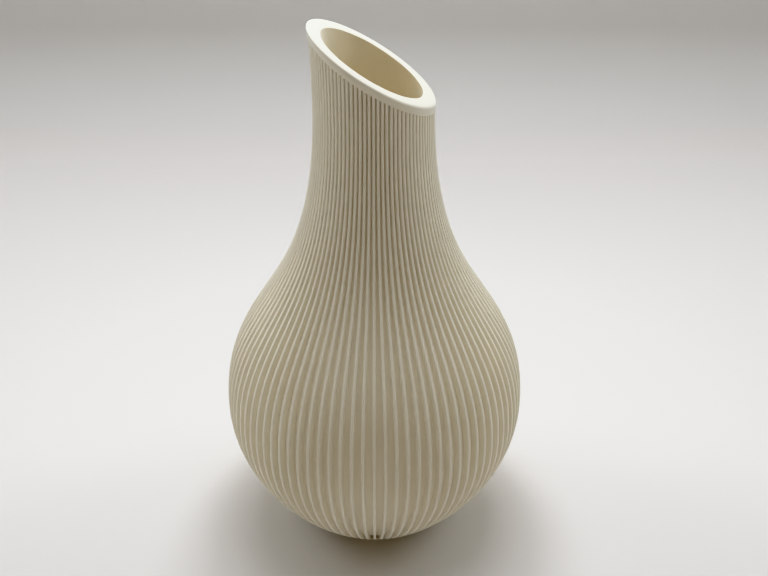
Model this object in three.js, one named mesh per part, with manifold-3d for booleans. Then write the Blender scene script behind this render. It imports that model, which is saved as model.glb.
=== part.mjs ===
// A ribbed bottle vase with an oblique mouth: a smooth inner vessel, 90 upright ribs standing round it,
// a collar closing their tops along the slanted mouth, and a thin disc under their feet.
// Millimetres, +Z up. The origin is the centre of the foot, on its underside; the mouth is highest at -X.

import * as THREE from 'three';
import { mergeVertices } from 'three/addons/utils/BufferGeometryUtils.js';
import Module from 'manifold-3d';

// ---- Driving dimensions -------------------------------------------------------------------------------

const HEIGHT = 200.3; // foot to the highest point of the mouth
const FOOT_RADIUS = 29.3; // over the rib crests, on the disc, as are the next three
const BELLY_RADIUS = 58.3;
const WAIST_RADIUS = 21.2;
const LIP_RADIUS = 22.7;
const BELLY_HEIGHT = 53.5;
const WAIST_HEIGHT = 174;
const MOUTH_SLOPE = THREE.MathUtils.degToRad(30.5);

const RIB_COUNT = 90;
const RIBS_PER_BANK = 5;
const RIB_WIDTH = 1;
const RIB_DEPTH_NECK = 1.9; // crest to recess, at the waist
const RIB_DEPTH_BELLY = 3;
const WALL = 2.4; // recess to the smooth inside of the vase
const SKIN = 0.5; // the web that joins the ribs of a bank behind the recesses
const GAP = 0.3; // between neighbouring pieces

const DISC_THICKNESS = 0.8;
const DISC_INSET = 0.1; // how far the disc's edge stays behind the rib crests
const WELL_HEIGHT = 5; // the inside of the floor, above the table
const BEND_HEIGHT = 9; // where the vessel's rounded bottom meets its wall
const SKIN_BOTTOM = 5; // below this the ribs stand free of the web
const COLLAR_HEIGHT = 3.1; // the plain band under the mouth, measured upright
const COLLAR_LIP = 0.15; // how far the collar stands proud of the crests

const SIDES = 54; // facets of each turned piece, three behind each bank of ribs

// ---- The outline over the rib crests ------------------------------------------------------------------

const point = (radius, height) => new THREE.Vector2(radius, height);

const outline = [
  new THREE.CubicBezierCurve(
    point(FOOT_RADIUS, DISC_THICKNESS),
    point(FOOT_RADIUS + 7.3, 6.2),
    point(BELLY_RADIUS, BELLY_HEIGHT - 26.9),
    point(BELLY_RADIUS, BELLY_HEIGHT),
  ),
  new THREE.CubicBezierCurve(
    point(BELLY_RADIUS, BELLY_HEIGHT),
    point(BELLY_RADIUS, BELLY_HEIGHT + 47.8),
    point(WAIST_RADIUS, WAIST_HEIGHT - 77),
    point(WAIST_RADIUS, WAIST_HEIGHT),
  ),
  new THREE.CubicBezierCurve(
    point(WAIST_RADIUS, WAIST_HEIGHT),
    point(WAIST_RADIUS, WAIST_HEIGHT + 12),
    point(WAIST_RADIUS + 0.3, HEIGHT - 4.5),
    point(LIP_RADIUS, HEIGHT + 1),
  ),
];
const fineOutline = outline.flatMap((curve) => curve.getPoints(200).slice(1));

// The crest radius at a height; above the outline's end it stays the lip's, below its start the foot's.
function crestRadius(height) {
  const next = fineOutline.findIndex((sample) => sample.y >= height);
  if (next < 0) return LIP_RADIUS;
  if (height <= DISC_THICKNESS) return FOOT_RADIUS;
  const high = fineOutline[next];
  const low = next > 0 ? fineOutline[next - 1] : point(FOOT_RADIUS, DISC_THICKNESS);
  return THREE.MathUtils.mapLinear(height, low.y, high.y, low.x, high.x);
}

// The recesses are deepest round the belly, where the ribs stand furthest apart.
function recessRadius(height) {
  const crest = crestRadius(height);
  return crest - THREE.MathUtils.mapLinear(crest, WAIST_RADIUS, BELLY_RADIUS, RIB_DEPTH_NECK, RIB_DEPTH_BELLY);
}

const insideRadius = (height) => recessRadius(height) - WALL;

// Heights where the tall pieces have a section: so many steps along each curve of the outline.
const STEPS = [5, 6, 2];
const RISE = outline.flatMap((curve, i) => curve.getPoints(STEPS[i]).slice(1)).map((sample) => sample.y);

// ---- Solids ---------------------------------------------------------------------------------------------

const wasm = await Module();
wasm.setup();

function toSolid(geometry) {
  const bare = geometry.clone();
  bare.deleteAttribute('normal');
  bare.deleteAttribute('uv');
  const merged = mergeVertices(bare, 1e-4);
  const vertProperties = new Float32Array(merged.attributes.position.array);
  const triVerts = new Uint32Array(merged.index.array);
  return new wasm.Manifold(new wasm.Mesh({ numProp: 3, vertProperties, triVerts }));
}

function toGeometry(solid) {
  const mesh = solid.getMesh();
  const geometry = new THREE.BufferGeometry();
  geometry.setAttribute('position', new THREE.BufferAttribute(mesh.vertProperties, 3));
  geometry.setIndex(new THREE.BufferAttribute(mesh.triVerts, 1));
  return geometry;
}

// A solid turned about +Z from points that run from the bottom outwards and up.
// LatheGeometry turns about +Y, so the result is stood up.
function turned(points) {
  return new THREE.LatheGeometry(points, SIDES).rotateX(Math.PI / 2);
}

// Closed loops of equal length, one above another, skinned together and capped at both ends.
function loft(loops) {
  const size = loops[0].length;
  const positions = loops.flat().flatMap((corner) => corner.toArray());
  const index = [];
  for (let level = 0; level + 1 < loops.length; level += 1) {
    for (let i = 0; i < size; i += 1) {
      const a = level * size + i;
      const b = level * size + ((i + 1) % size);
      index.push(a, b, b + size, a, b + size, a + size);
    }
  }
  const flat = loops[0].map((corner) => point(corner.x, corner.y));
  const top = (loops.length - 1) * size;
  for (const [a, b, c] of THREE.ShapeUtils.triangulateShape(flat, [])) {
    index.push(a, c, b, top + a, top + b, top + c);
  }
  const geometry = new THREE.BufferGeometry();
  geometry.setAttribute('position', new THREE.Float32BufferAttribute(positions, 3));
  geometry.setIndex(index);
  return geometry;
}

// All the space above the mouth's plane, or above that plane lowered by some height.
const mouthCentre = HEIGHT - LIP_RADIUS * Math.tan(MOUTH_SLOPE);

function aboveMouth(lowered = 0) {
  const box = new THREE.BoxGeometry(200, 200, 100);
  box.translate(0, 0, 50).rotateY(MOUTH_SLOPE).translate(0, 0, mouthCentre - lowered);
  return toSolid(box);
}

// ---- Sub-parts --------------------------------------------------------------------------------------------

const underCollar = COLLAR_HEIGHT + GAP;
const onDisc = DISC_THICKNESS + GAP;
const heightsAbove = (bottom) => [bottom, ...RISE.filter((height) => height > bottom + 1)];

// The thin disc on the table that the rib feet stand on.
function footDisc() {
  const edge = FOOT_RADIUS - DISC_INSET;
  return turned([point(0, 0), point(edge, 0), point(edge, DISC_THICKNESS), point(0, DISC_THICKNESS)]);
}

// The smooth wall and raised floor: out under the floor, up the outside, and down the inside to the well.
function innerVessel() {
  const outside = (height) => point(recessRadius(height) - SKIN - GAP, height);
  const inside = (height) => point(insideRadius(height), height);
  const underside = new THREE.QuadraticBezierCurve(
    point(FOOT_RADIUS - 5, onDisc),
    point(FOOT_RADIUS - 1.5, onDisc),
    outside(BEND_HEIGHT),
  );
  const well = new THREE.QuadraticBezierCurve(
    point(FOOT_RADIUS - 6, WELL_HEIGHT),
    point(FOOT_RADIUS, WELL_HEIGHT),
    inside(BEND_HEIGHT),
  );
  const rise = RISE.filter((height) => height > BEND_HEIGHT + 1);
  const profile = [
    point(0, onDisc),
    ...underside.getPoints(3),
    ...rise.map(outside),
    ...rise.map(inside).reverse(),
    ...well.getPoints(3).reverse(),
    point(0, WELL_HEIGHT),
  ];
  return toGeometry(toSolid(turned(profile)).subtract(aboveMouth(underCollar)));
}

// The section of a bank of ribs at one height: the ribs outwards, then back along the web behind them.
const ribPitch = (2 * Math.PI) / RIB_COUNT;
const bankHalf = (ribPitch * RIBS_PER_BANK) / 2;

function bankSection(height) {
  const crest = crestRadius(height);
  const recess = recessRadius(height);
  const back = recess - SKIN;
  const corner = (radius, angle, aside = 0) => new THREE.Vector3(
    radius * Math.cos(angle) - aside * Math.sin(angle),
    radius * Math.sin(angle) + aside * Math.cos(angle),
    height,
  );
  const half = RIB_WIDTH / 2;
  const loop = [corner(recess, -bankHalf, GAP / 2)];
  for (let rib = 0; rib < RIBS_PER_BANK; rib += 1) {
    const angle = (rib + 0.5) * ribPitch - bankHalf;
    loop.push(corner(recess, angle, -half), corner(crest, angle, -half));
    loop.push(corner(crest, angle, half), corner(recess, angle, half));
  }
  loop.push(corner(recess, bankHalf, -GAP / 2), corner(back, bankHalf, -GAP / 2));
  loop.push(corner(back, bankHalf / 3), corner(back, -bankHalf / 3), corner(back, -bankHalf, GAP / 2));
  return loop;
}

// A bank is cut off under the collar, and its web is cut away near the disc so the feet stand free.
// The cut takes a little of the ribs' roots, so that no face of it lies on the recesses.
const ROOT_CUT = 0.15;
const cutPoint = (height) => point(recessRadius(height) + ROOT_CUT, height);
const footWindow = toSolid(turned(
  [point(0, 0), cutPoint(0), cutPoint(onDisc), cutPoint(SKIN_BOTTOM), point(0, SKIN_BOTTOM)],
));

function ribBank(turn) {
  const comb = loft(heightsAbove(onDisc).map(bankSection)).rotateZ(turn);
  return toGeometry(toSolid(comb).subtract(aboveMouth(underCollar)).subtract(footWindow));
}

// The flat slanted ring round the mouth, with the plain band under it.
function mouthCollar() {
  const low = mouthCentre - 2 * LIP_RADIUS;
  const rise = [low, ...RISE.filter((height) => height > low)];
  const profile = [
    ...rise.map((height) => point(crestRadius(height) + COLLAR_LIP, height)),
    ...rise.map((height) => point(insideRadius(height), height)).reverse(),
  ];
  profile.push(profile[0]);
  const slab = aboveMouth(COLLAR_HEIGHT).subtract(aboveMouth());
  return toGeometry(toSolid(turned(profile)).intersect(slab));
}

// ---- The vase ---------------------------------------------------------------------------------------------

const vase = new THREE.Group();

function add(name, geometry) {
  const plastic = new THREE.MeshStandardMaterial({ color: 0xe9e3d6, roughness: 0.6, metalness: 0 });
  const mesh = new THREE.Mesh(geometry, plastic);
  mesh.name = name;
  vase.add(mesh);
}

add('foot_disc', footDisc());
add('inner_vessel', innerVessel());
for (let bank = 0; bank < RIB_COUNT / RIBS_PER_BANK; bank += 1) {
  const number = String(bank + 1).padStart(2, '0');
  add(`rib_bank_${number}`, ribBank(2 * bank * bankHalf));
}
add('mouth_collar', mouthCollar());

export default vase;
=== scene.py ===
import math

import bpy
import numpy as np
from mathutils import Matrix, Vector


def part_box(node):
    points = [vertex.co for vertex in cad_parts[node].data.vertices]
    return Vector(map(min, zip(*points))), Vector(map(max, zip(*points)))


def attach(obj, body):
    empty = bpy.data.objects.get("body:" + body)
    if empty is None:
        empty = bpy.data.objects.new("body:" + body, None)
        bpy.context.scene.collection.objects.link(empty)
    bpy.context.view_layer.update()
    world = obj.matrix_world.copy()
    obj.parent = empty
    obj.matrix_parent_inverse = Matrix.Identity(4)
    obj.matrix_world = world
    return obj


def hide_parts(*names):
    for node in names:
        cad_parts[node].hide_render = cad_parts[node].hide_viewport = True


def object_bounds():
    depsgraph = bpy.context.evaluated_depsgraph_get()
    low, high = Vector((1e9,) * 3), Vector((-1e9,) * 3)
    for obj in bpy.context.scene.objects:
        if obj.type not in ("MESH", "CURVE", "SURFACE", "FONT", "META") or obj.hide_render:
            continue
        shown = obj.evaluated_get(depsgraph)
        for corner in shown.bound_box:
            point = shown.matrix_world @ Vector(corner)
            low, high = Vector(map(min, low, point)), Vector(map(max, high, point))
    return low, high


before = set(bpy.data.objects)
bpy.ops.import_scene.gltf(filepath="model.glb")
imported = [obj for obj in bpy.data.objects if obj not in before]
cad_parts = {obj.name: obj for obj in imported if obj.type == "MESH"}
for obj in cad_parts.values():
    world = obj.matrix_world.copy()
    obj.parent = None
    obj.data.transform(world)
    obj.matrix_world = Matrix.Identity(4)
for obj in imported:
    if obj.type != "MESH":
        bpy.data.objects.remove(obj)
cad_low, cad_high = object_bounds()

# A ribbed bottle vase with a slanted mouth: one smooth vessel, 90 upright ribs with rounded crests, a
# collar round the mouth and a thin disc under the rib feet. Metres, +Z up, as the frame has it.

MM = 0.001

# ---- Driving dimensions -------------------------------------------------------------------------------

HEIGHT = cad_high.z
BELLY_RADIUS = cad_high.x  # over the rib crests, as are the next three
FOOT_RADIUS = 29.3 * MM
WAIST_RADIUS = 21.2 * MM
LIP_RADIUS = 22.7 * MM
BELLY_HEIGHT = 53.5 * MM
WAIST_HEIGHT = 174 * MM
MOUTH_SLOPE = math.tan(math.radians(30.5))  # fall of the mouth's plane from -X to +X
MOUTH_CENTRE = HEIGHT - LIP_RADIUS * MOUTH_SLOPE

# The handles of the outline's curves, which set how full it is between those heights.
FOOT_HANDLE_OUT = 7.3 * MM
FOOT_HANDLE_HEIGHT = 6.2 * MM
BELLY_HANDLE_DOWN = 26.9 * MM
BELLY_HANDLE_UP = 47.8 * MM
WAIST_HANDLE_DOWN = 77 * MM
WAIST_HANDLE_UP = 12 * MM
LIP_HANDLE_OUT = 0.3 * MM  # from the waist's radius
LIP_HANDLE_DOWN = 4.5 * MM  # from the top
OVERRUN = 1 * MM  # how far the outline goes on above the top

RIB_COUNT = 90
RIBS_PER_BANK = 5  # in each CAD node
RIB_WIDTH_NECK = 0.9 * MM
RIB_WIDTH_BELLY = 1.08 * MM
RIB_DEPTH_NECK = 1.9 * MM  # crest to recess
RIB_DEPTH_BELLY = 3.0 * MM
CREST_ROUNDING = 0.2 * MM
CREST_CROWN = 0.05 * MM
ROOT_FLARE = 0.12 * MM  # how much wider a rib's side stands where it runs out into the wall
ROOT_FLARE_MIDDLE = (0.45 * ROOT_FLARE, 0.35 * ROOT_FLARE)  # out from the wall, and aside
ROOT_FLARE_END = 1.6 * ROOT_FLARE  # out from the wall
ROOT_EMBED = 0.3 * MM  # how far a rib's root stands inside the wall
TOP_LEAN = 8  # the higher, the nearer its top a rib's section starts to lean with the mouth

WALL = 2.4 * MM  # recess to the smooth inside
WELL_HEIGHT = 5 * MM
WELL_FLAT_END = FOOT_RADIUS - 6 * MM
BEND_HEIGHT = 9 * MM
SKIN_BOTTOM = 5.8 * MM  # below this the ribs stand free of the wall
SKIN_HANDLE = (1.0 * MM, 0.6 * MM)  # in and down from there
UNDERSIDE_FLAT_END = FOOT_RADIUS - 7 * MM
UNDERSIDE_HANDLE = (5 * MM, 0.6 * MM)  # out and up from there
COLLAR_HEIGHT = 3.1 * MM
COLLAR_LIP = 0.15 * MM
COLLAR_ROUNDING = 1.0 * MM
COLLAR_INNER_ROUNDING = 0.4 * MM
COLLAR_FOOT_ROUNDING = 0.25 * MM
DISC_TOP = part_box("foot_disc")[1].z
DISC_INSET = 0.1 * MM
DISC_ROUNDING = 0.15 * MM
HUB_RADIUS = 0.5 * MM  # of the small face that closes a turned piece at its axis

# How far fused pieces reach into each other: on the whole, and up into the collar.
OVERLAP = 0.1 * MM
RIB_TUCK = 4 * OVERLAP
WALL_TUCK = OVERLAP / 4
LAST_RING_TUCK = 5 * OVERLAP

SHARP_EDGE = math.radians(42)

# ---- The outline over the rib crests ------------------------------------------------------------------


def bezier(points, steps):
    """Points along a Bezier curve of any degree, its first point included."""
    t = np.linspace(0, 1, steps + 1)[:, None]
    level = [np.array(p, float) for p in points]
    while len(level) > 1:
        level = [a * (1 - t) + b * t for a, b in zip(level, level[1:])]
    return level[0]


foot_to_belly = bezier([
    (FOOT_RADIUS, DISC_TOP),
    (FOOT_RADIUS + FOOT_HANDLE_OUT, FOOT_HANDLE_HEIGHT),
    (BELLY_RADIUS, BELLY_HEIGHT - BELLY_HANDLE_DOWN),
    (BELLY_RADIUS, BELLY_HEIGHT),
], steps=44)
belly_to_waist = bezier([
    (BELLY_RADIUS, BELLY_HEIGHT),
    (BELLY_RADIUS, BELLY_HEIGHT + BELLY_HANDLE_UP),
    (WAIST_RADIUS, WAIST_HEIGHT - WAIST_HANDLE_DOWN),
    (WAIST_RADIUS, WAIST_HEIGHT),
], steps=84)
waist_to_lip = bezier([
    (WAIST_RADIUS, WAIST_HEIGHT),
    (WAIST_RADIUS, WAIST_HEIGHT + WAIST_HANDLE_UP),
    (WAIST_RADIUS + LIP_HANDLE_OUT, HEIGHT - LIP_HANDLE_DOWN),
    (LIP_RADIUS, HEIGHT + OVERRUN),
], steps=22)
OUTLINE = np.vstack([foot_to_belly, belly_to_waist[1:], waist_to_lip[1:]])


def crest(height):
    """The radius over the rib crests at a height, or at each of an array of heights."""
    return np.interp(height, OUTLINE[:, 1], OUTLINE[:, 0])


def fullness(height):
    """0 where the outline is as slim as the neck, 1 at the belly."""
    return (crest(height) - WAIST_RADIUS) / (BELLY_RADIUS - WAIST_RADIUS)


def rib_depth(height):
    return RIB_DEPTH_NECK + (RIB_DEPTH_BELLY - RIB_DEPTH_NECK) * fullness(height)


def recess(height):
    return crest(height) - rib_depth(height)


def inside(height):
    return recess(height) - WALL


def mouth_height(x, lowered=0.0):
    """Height of the mouth's plane, lowered by so much, over a place x."""
    return MOUTH_CENTRE - lowered - MOUTH_SLOPE * x


def rim_point(angle, surface, lowered=0.0, offset=0.0, rounds=30):
    """(radius, height) where a surface, moved out by offset, meets the lowered mouth plane at an angle.

    The radius depends on the height and the height on the radius, so they settle in so many rounds.
    """
    height = np.full_like(angle, MOUTH_CENTRE)
    for _ in range(rounds):
        radius = surface(height) + offset
        height = mouth_height(radius * np.cos(angle), lowered)
    return radius, height


def rise(bottom, first_step=0.3 * MM):
    """Shares of the way up from bottom to the outline's top, one for each point of the outline."""
    heights = np.append(bottom, OUTLINE[OUTLINE[:, 1] > bottom + first_step, 1])
    return (heights - bottom) / (heights[-1] - bottom)


# ---- Meshes -------------------------------------------------------------------------------------------


def new_piece(name, rows, ring=False):
    """A closed mesh skinned over rows of points, each row a closed loop.

    ring joins the last row to the first. Otherwise the first and last rows are each closed by a face.
    """
    rows = np.asarray(rows, float)
    count, size = rows.shape[:2]
    points = rows.reshape(-1, 3)
    index = np.arange(count * size).reshape(count, size)
    spans = [(i, (i + 1) % count) for i in range(count if ring else count - 1)]
    faces = []
    for low, high in spans:
        a, b = index[low], index[high]
        faces += np.stack([a, np.roll(a, -1), np.roll(b, -1), b], 1).tolist()
    if not ring:
        faces += [index[0][::-1].tolist(), index[-1].tolist()]
    mesh = bpy.data.meshes.new(name)
    mesh.from_pydata(points.tolist(), [], faces)
    piece = bpy.data.objects.new(name, mesh)
    bpy.context.scene.collection.objects.link(piece)
    return piece


def finish_piece(piece, material, *nodes):
    """Shading, material and place in the frame."""
    mesh = piece.data
    mesh.polygons.foreach_set("use_smooth", [True] * len(mesh.polygons))
    mesh.set_sharp_from_angle(angle=SHARP_EDGE)
    mesh.materials.append(material)
    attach(piece, "root")
    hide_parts(*nodes)


def turned(radius, height, angle):
    """Rows of points from matching arrays of radius and height, which may vary with the angle."""
    radius, height, angle = np.broadcast_arrays(radius, height, angle)
    return np.stack([radius * np.cos(angle), radius * np.sin(angle), height], -1)


def around(segments):
    return np.arange(segments) * 2 * math.pi / segments


# ---- The ribs -----------------------------------------------------------------------------------------


def rib_section(width, depth):
    """A rib's section as (distance out from the crest, distance aside) round its loop.

    Width and depth are arrays, with one value for each height.
    """
    half = width / 2
    quarter_turn = np.radians([0, 30, 60, 90])
    zero = np.zeros_like(half)
    middle_out, middle_aside = ROOT_FLARE_MIDDLE
    side = [
        (-depth - ROOT_EMBED, half + ROOT_FLARE),
        (-depth, half + ROOT_FLARE),
        (middle_out - depth, half + middle_aside),
        (ROOT_FLARE_END - depth, half),
    ]
    side += [
        (
            zero - CREST_ROUNDING * (1 - math.sin(a)),
            half - CREST_ROUNDING * (1 - math.cos(a)),
        )
        for a in quarter_turn
    ]
    loop = [(out, -aside) for out, aside in side]
    loop.append((zero + CREST_CROWN, zero))
    loop += side[::-1]
    return loop


def rib(number, material):
    angle = number * 2 * math.pi / RIB_COUNT
    bottom = DISC_TOP - OVERLAP
    shares = rise(bottom)
    radius_at_collar = rim_point(np.array([angle]), crest, COLLAR_HEIGHT)[0][0]
    top = mouth_height(radius_at_collar * math.cos(angle), COLLAR_HEIGHT - RIB_TUCK)
    height = bottom + shares * (top - bottom)
    width = RIB_WIDTH_NECK + (RIB_WIDTH_BELLY - RIB_WIDTH_NECK) * fullness(height)
    columns = []
    for out, aside in rib_section(width, rib_depth(height)):
        # Near the top, the points follow the mouth's plane, which the collar's underside lies in.
        level = height - MOUTH_SLOPE * math.cos(angle) * out * shares ** TOP_LEAN
        radius = crest(level) + out
        columns.append(np.stack([
            radius * math.cos(angle) - aside * math.sin(angle),
            radius * math.sin(angle) + aside * math.cos(angle),
            level,
        ], -1))
    piece = new_piece(f"rib_{number + 1:02d}", np.stack(columns, 1))
    bank = (number + RIBS_PER_BANK // 2) // RIBS_PER_BANK % (RIB_COUNT // RIBS_PER_BANK)
    finish_piece(piece, material, f"rib_bank_{bank + 1:02d}")


# ---- The turned pieces --------------------------------------------------------------------------------


def vessel(material):
    """Underside, recess wall between the ribs, smooth inside and raised floor, in one skin."""
    angle = around(3 * RIB_COUNT)
    flat = DISC_TOP - OVERLAP

    def wall(surface, bottom, shares):
        top = rim_point(angle, surface, COLLAR_HEIGHT - WALL_TUCK)[1]
        height = bottom + shares[:, None] * (top - bottom)
        return surface(height), height

    out_radius, out_height = wall(recess, SKIN_BOTTOM, rise(SKIN_BOTTOM))
    in_radius, in_height = wall(inside, BEND_HEIGHT, np.append(rise(BEND_HEIGHT)[:-1:2], 1.0))
    last_radius, last_height = rim_point(angle, inside, COLLAR_HEIGHT - LAST_RING_TUCK, OVERLAP)
    in_radius = np.vstack([in_radius, last_radius])  # the last ring hides inside the collar
    in_height = np.vstack([in_height, last_height])

    def ring_rows(profile):
        return turned(profile[:, :1], profile[:, 1:], angle)

    edge = recess(SKIN_BOTTOM)
    underside = bezier([
        (UNDERSIDE_FLAT_END, flat),
        (UNDERSIDE_FLAT_END + UNDERSIDE_HANDLE[0], flat + UNDERSIDE_HANDLE[1]),
        (edge - SKIN_HANDLE[0], SKIN_BOTTOM - SKIN_HANDLE[1]),
        (edge, SKIN_BOTTOM),
    ], steps=8)[:-1]
    well = bezier([
        (WELL_FLAT_END, WELL_HEIGHT),
        (FOOT_RADIUS, WELL_HEIGHT),
        (inside(BEND_HEIGHT), BEND_HEIGHT),
    ], steps=10)[:-1]
    rows = np.concatenate([
        ring_rows(np.array([(HUB_RADIUS, flat)])),
        ring_rows(underside),
        turned(out_radius, out_height, angle),
        turned(in_radius, in_height, angle)[::-1],
        ring_rows(well[::-1]),
        ring_rows(np.array([(HUB_RADIUS, WELL_HEIGHT)])),
    ])
    finish_piece(new_piece("vessel", rows), material, "inner_vessel")


def collar(material):
    """The flat slanted ring round the mouth, rounded at its outer edge, with the plain band under it."""
    angle = around(240)

    def on_side(offset, depth):
        return np.stack(rim_point(angle, crest, depth, offset), -1)

    def on_bore(depth):
        return np.stack(rim_point(angle, inside, depth), -1)

    def on_top(radius):
        return np.stack([radius, mouth_height(radius * np.cos(angle))], -1)

    def rounded(start, corner, end, steps):
        shares = np.linspace(0, 1, steps + 1)
        return [start * (1 - t) ** 2 + corner * 2 * t * (1 - t) + end * t * t for t in shares]

    outer_edge = on_side(COLLAR_LIP, 0.0)
    inner_edge = on_bore(0.0)
    section = rounded(
        on_side(COLLAR_LIP - COLLAR_FOOT_ROUNDING, COLLAR_HEIGHT),
        on_side(COLLAR_LIP, COLLAR_HEIGHT),
        on_side(COLLAR_LIP, COLLAR_HEIGHT - COLLAR_FOOT_ROUNDING),
        steps=3,
    )
    section += rounded(
        on_side(COLLAR_LIP, COLLAR_ROUNDING),
        outer_edge,
        on_top(outer_edge[:, 0] - COLLAR_ROUNDING),
        steps=8,
    )
    section += rounded(
        on_top(inner_edge[:, 0] + COLLAR_INNER_ROUNDING),
        inner_edge,
        on_bore(COLLAR_INNER_ROUNDING),
        steps=5,
    )
    section += [on_bore(COLLAR_HEIGHT / 2), on_bore(COLLAR_HEIGHT)]
    rows = [turned(line[:, 0], line[:, 1], angle) for line in section]
    finish_piece(new_piece("collar", rows, ring=True), material, "mouth_collar")


def foot_disc(material):
    """The thin disc that the rib feet stand on, with an upright edge."""
    angle = around(180)
    edge = FOOT_RADIUS - DISC_INSET
    lower_corner = [(edge - DISC_ROUNDING, 0), (edge, 0), (edge, DISC_ROUNDING)]
    upper_corner = [
        (edge, DISC_TOP - DISC_ROUNDING),
        (edge, DISC_TOP),
        (edge - DISC_ROUNDING, DISC_TOP),
    ]
    profile = np.vstack([
        [(HUB_RADIUS, 0)],
        bezier(lower_corner, steps=3),
        bezier(upper_corner, steps=3),
        [(HUB_RADIUS, DISC_TOP)],
    ])
    rows = turned(profile[:, :1], profile[:, 1:], angle)
    finish_piece(new_piece("base_disc", rows), material, "foot_disc")


# ---- Materials ----------------------------------------------------------------------------------------


class Nodes:
    """Short calls for building a material's nodes."""

    def __init__(self, name):
        self.material = bpy.data.materials.new(name)
        self.material.use_nodes = True
        self.tree = self.material.node_tree
        self.shader = self.tree.nodes["Principled BSDF"]

    def add(self, kind, **settings):
        node = self.tree.nodes.new(kind)
        for key, value in settings.items():
            setattr(node, key, value)
        return node

    def feed(self, value, socket):
        """Links what another node gives, or sets a plain number, vector or colour."""
        if isinstance(value, bpy.types.NodeSocket):
            self.tree.links.new(value, socket)
        else:
            socket.default_value = value

    def shade(self, **values):
        """Feeds the shader's sockets, each named with _ for a space."""
        for name, value in values.items():
            self.feed(value, self.shader.inputs[name.replace("_", " ")])

    def math(self, operation, *values):
        node = self.add("ShaderNodeMath", operation=operation)
        for socket, value in zip(node.inputs, values):
            self.feed(value, socket)
        return node.outputs[0]

    def total(self, *shares):
        """The sum of (value, share) pairs, each value times its share."""
        parts = [self.math("MULTIPLY", value, share) for value, share in shares]
        result = parts[0]
        for part in parts[1:]:
            result = self.math("ADD", result, part)
        return result

    def vector(self, operation, *values):
        node = self.add("ShaderNodeVectorMath", operation=operation)
        for socket, value in zip(node.inputs, values):
            self.feed(value, socket)
        return node.outputs["Value" if operation in ("DOT_PRODUCT", "LENGTH") else "Vector"]

    def noise(self, vector, scale, detail=2.0, roughness=0.5):
        node = self.add("ShaderNodeTexNoise")
        self.feed(vector, node.inputs["Vector"])
        self.feed(scale, node.inputs["Scale"])
        self.feed(detail, node.inputs["Detail"])
        self.feed(roughness, node.inputs["Roughness"])
        return node.outputs["Fac"]

    def spread(self, noise, low, high, usual=(0.25, 0.75)):
        """A noise, which mostly keeps to its usual range, spread from low to high."""
        node = self.add("ShaderNodeMapRange")
        self.feed(noise, node.inputs["Value"])
        self.feed(usual[0], node.inputs["From Min"])
        self.feed(usual[1], node.inputs["From Max"])
        self.feed(low, node.inputs["To Min"])
        self.feed(high, node.inputs["To Max"])
        return node.outputs["Result"]

    def ramp(self, value, start, end, top=1.0):
        """0 before start, changing smoothly to top at end and past it."""
        node = self.add("ShaderNodeMapRange", interpolation_type="SMOOTHSTEP")
        self.feed(value, node.inputs["Value"])
        self.feed(start, node.inputs["From Min"])
        self.feed(end, node.inputs["From Max"])
        self.feed(top, node.inputs["To Max"])
        return node.outputs["Result"]

    def mix(self, factor, first, second):
        """A colour from first, at factor 0, to second, at 1."""
        node = self.add("ShaderNodeMix", data_type="RGBA")
        self.feed(factor, node.inputs["Factor"])
        self.feed(first, node.inputs["A"])
        self.feed(second, node.inputs["B"])
        return node.outputs["Result"]


LAYER = 0.2 * MM  # height of one printed layer
IVORY_DEEP = (0.845, 0.79, 0.665, 1)
IVORY_PALE = (0.875, 0.83, 0.715, 1)
# Painted shade: the deeper, warmer colour given to faces that look towards the axis, inside the bore.
IVORY_INSIDE_PAINTED_SHADE = (0.775, 0.69, 0.525, 1)
INSIDE_SHADE_START = -0.65  # the cosine between a face's own direction and the way out from the axis
INSIDE_SHADE_FULL = -0.95


def ivory_print():
    """Matte ivory filament: level layer lines, uneven from layer to layer, faint clouding, and painted
    shade on the inside of the bore.
    """
    n = Nodes("ivory_print")
    place = n.add("ShaderNodeTexCoord").outputs["Object"]
    split = n.add("ShaderNodeSeparateXYZ")
    n.feed(place, split.inputs[0])
    height = split.outputs["Z"]

    # Each layer's own bulge, and a slower unevenness over a few layers, with finer steps in it.
    bulge = n.math("SINE", n.math("MULTIPLY", height, 2 * math.pi / LAYER))
    level = n.add("ShaderNodeCombineXYZ")
    n.feed(height, level.inputs["Z"])
    uneven = n.noise(level.outputs[0], scale=1 / (4 * LAYER), detail=3.0, roughness=0.7)
    grain = n.noise(place, scale=2600)
    bump = n.add("ShaderNodeBump")
    n.feed(0.35, bump.inputs["Strength"])
    n.feed(0.03 * MM, bump.inputs["Distance"])
    n.feed(n.total((bulge, 0.25), (uneven, 2.4), (grain, 0.15)), bump.inputs["Height"])

    cloud = n.noise(place, scale=38, detail=4.0, roughness=0.55)
    tone = n.spread(n.total((cloud, 0.7), (uneven, 0.3)), low=0.0, high=1.0)
    clouded = n.mix(tone, IVORY_DEEP, IVORY_PALE)

    # Painted shade: faces that look towards the axis, the inside of the bore, get a deeper, warmer colour,
    # which stands in for the shade and warm bounced light in there.
    outward = n.vector("NORMALIZE", n.vector("MULTIPLY", place, (1, 1, 0)))
    facing = n.vector("DOT_PRODUCT", n.add("ShaderNodeTexCoord").outputs["Normal"], outward)
    inside_shade = n.ramp(facing, INSIDE_SHADE_START, INSIDE_SHADE_FULL)

    n.shade(
        Base_Color=n.mix(inside_shade, clouded, IVORY_INSIDE_PAINTED_SHADE),
        Roughness=n.spread(n.noise(place, scale=210, detail=3.0), low=0.48, high=0.6),
        Diffuse_Roughness=0.7,
        IOR=1.46,
        Sheen_Weight=0.28,
        Sheen_Roughness=0.5,
        Normal=bump.outputs[0],
    )
    return n.material


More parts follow.
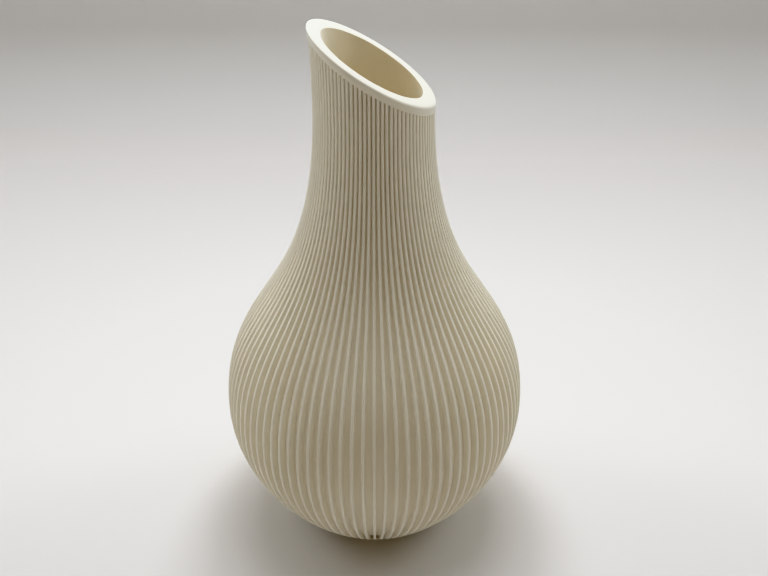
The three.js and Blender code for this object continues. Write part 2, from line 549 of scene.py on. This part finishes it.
FLOOR_WHITE = (0.68, 0.644, 0.608, 1)
BACKDROP_WHITE = (0.675, 0.658, 0.628, 1)
BACKDROP_WHITE_FROM = 0.03  # height at which the floor's white has wholly changed
GLOW_START = 0.55  # from the foot's centre
GLOW_FULL = 1.8
GLOW_STRENGTH = 0.42


def studio_white():
    """The stage's matte white, a little less warm up the backdrop."""
    n = Nodes("studio_white")
    place = n.add("ShaderNodeTexCoord").outputs["Object"]
    split = n.add("ShaderNodeSeparateXYZ")
    n.feed(place, split.inputs[0])
    climb = n.ramp(split.outputs["Z"], 0.0, BACKDROP_WHITE_FROM)

    # Painted light: where no lamp reaches, the floor glows faintly, so that it runs out into the grey
    # beyond it.
    glow = n.ramp(n.vector("LENGTH", place), GLOW_START, GLOW_FULL, GLOW_STRENGTH)

    n.shade(
        Base_Color=n.mix(climb, FLOOR_WHITE, BACKDROP_WHITE),
        Roughness=0.9,
        Specular_IOR_Level=0.2,
        Emission_Strength=glow,
    )
    return n.material


# ---- Camera, stage and light --------------------------------------------------------------------------

# The camera stands in front of the vase and above it, and looks down at it.
CAMERA_TURN = math.radians(10.24)  # of the place it stands at, from -Y towards +X
CAMERA_DISTANCE = 0.3186  # from the vase's axis
CAMERA_HEIGHT = 0.2761
CAMERA_HEADING = CAMERA_TURN - math.radians(0.661)  # a little to the right of the axis
CAMERA_PITCH = math.radians(28.889)
CAMERA_ROLL = math.radians(0.138)
LENS_MM = 44.77

AWAY = Vector((-math.sin(CAMERA_TURN), math.cos(CAMERA_TURN), 0))  # from the camera, past the vase
RIGHT = Vector((math.cos(CAMERA_TURN), math.sin(CAMERA_TURN), 0))
UP = Vector((0, 0, 1))


def at(away=0.0, right=0.0, up=0.0):
    """A place, as seen from the camera, measured from the foot's centre."""
    return AWAY * away + RIGHT * right + UP * up


def camera():
    data = bpy.data.cameras.new("camera")
    data.lens = LENS_MM
    data.clip_start = 0.01
    view = bpy.data.objects.new("camera", data)
    view.matrix_world = (
        Matrix.Translation(at(away=-CAMERA_DISTANCE, up=CAMERA_HEIGHT))
        @ Matrix.Rotation(CAMERA_HEADING, 4, "Z")
        @ Matrix.Rotation(math.pi / 2 - CAMERA_PITCH, 4, "X")
        @ Matrix.Rotation(CAMERA_ROLL, 4, "Z")
    )
    bpy.context.scene.collection.objects.link(view)
    bpy.context.scene.camera = view


BACKDROP_START = 0.39  # behind the vase's axis
BACKDROP_BEND = 0.085
BACKDROP_HEIGHT = 0.9
STAGE_FRONT = 7.0
STAGE_HALF_WIDTH = 5.0


def studio():
    """A white floor that bends up into a plain backdrop."""
    arc = [
        (BACKDROP_START + BACKDROP_BEND * math.sin(a), BACKDROP_BEND * (1 - math.cos(a)))
        for a in np.linspace(0, math.pi / 2, 24)
    ]
    profile = [(-STAGE_FRONT, 0.0)] + arc + [(arc[-1][0], BACKDROP_HEIGHT)]
    points = []
    for reach, height in profile:
        for side in (-STAGE_HALF_WIDTH, STAGE_HALF_WIDTH):
            points.append(at(reach, side, height))
    faces = [(2 * i, 2 * i + 1, 2 * i + 3, 2 * i + 2) for i in range(len(profile) - 1)]
    mesh = bpy.data.meshes.new("studio_sweep")
    mesh.from_pydata(points, [], faces)
    mesh.polygons.foreach_set("use_smooth", [True] * len(mesh.polygons))
    mesh.materials.append(studio_white())
    sweep = bpy.data.objects.new("studio_sweep", mesh)
    bpy.context.scene.collection.objects.link(sweep)


LAMP_WHITE = (1, 1, 1)
LAMP_COOL = (0.87, 0.9, 1.0)
LAMP_COOLER = (0.81, 0.92, 1.0)


def softbox(name, place, target, width, depth, power, color=LAMP_WHITE, spread=180):
    data = bpy.data.lights.new(name, "AREA")
    data.shape = "RECTANGLE"
    data.size = width
    data.size_y = depth
    data.energy = power
    data.color = color
    data.spread = math.radians(spread)
    lamp = bpy.data.objects.new(name, data)
    lamp.location = place
    facing = (target - place).to_track_quat("-Z", "Y")
    lamp.rotation_euler = facing.to_euler()
    lamp.visible_camera = False
    bpy.context.scene.collection.objects.link(lamp)


def lights():
    """One broad lamp overhead, one on each side from the rear, a small one at the mouth and a low fill."""
    middle = at(up=HEIGHT / 2)
    mouth = at(up=MOUTH_CENTRE)
    softbox(
        "overhead", at(away=0.25, up=1.0), target=at(away=0.25),
        width=0.6, depth=0.6, power=7.0, color=LAMP_COOL,
    )
    for name, aside in (("left_rear", -0.73), ("right_rear", 0.73)):
        softbox(
            name, at(away=0.27, right=aside, up=0.6), target=middle,
            width=0.4, depth=0.8, power=1.06, color=LAMP_COOLER, spread=90,
        )
    softbox(
        "over_mouth", mouth + at(away=0.09, up=0.11), target=mouth,
        width=0.07, depth=0.07, power=0.31, color=LAMP_COOLER,
    )
    softbox(
        "front_low", at(away=-0.5, up=0.13), target=at(up=0.01),
        width=0.6, depth=0.1, power=0.11,
    )


AIR_COLOR = (1.0, 0.92, 0.75, 1)
AIR_STRENGTH = 0.232
BEYOND_STAGE = (0.6, 0.6, 0.59, 1)


def air():
    """Soft light from all round, and pale grey where the camera sees past the stage."""
    world = bpy.data.worlds.new("studio_air")
    world.use_nodes = True
    tree = world.node_tree
    light = tree.nodes["Background"]
    light.inputs["Color"].default_value = AIR_COLOR
    light.inputs["Strength"].default_value = AIR_STRENGTH
    seen = tree.nodes.new("ShaderNodeBackground")
    seen.inputs["Color"].default_value = BEYOND_STAGE
    path = tree.nodes.new("ShaderNodeLightPath")
    mix = tree.nodes.new("ShaderNodeMixShader")
    tree.links.new(path.outputs["Is Camera Ray"], mix.inputs["Fac"])
    tree.links.new(light.outputs[0], mix.inputs[1])
    tree.links.new(seen.outputs[0], mix.inputs[2])
    tree.links.new(mix.outputs[0], tree.nodes["World Output"].inputs["Surface"])
    bpy.context.scene.world = world


# ---- The scene ----------------------------------------------------------------------------------------

camera()
studio()
lights()
air()
bpy.context.scene.view_settings.view_transform = "Khronos PBR Neutral"
bpy.context.scene.cycles.diffuse_bounces = 8

plastic = ivory_print()
foot_disc(plastic)
vessel(plastic)
for number in range(RIB_COUNT):
    rib(number, plastic)
collar(plastic)
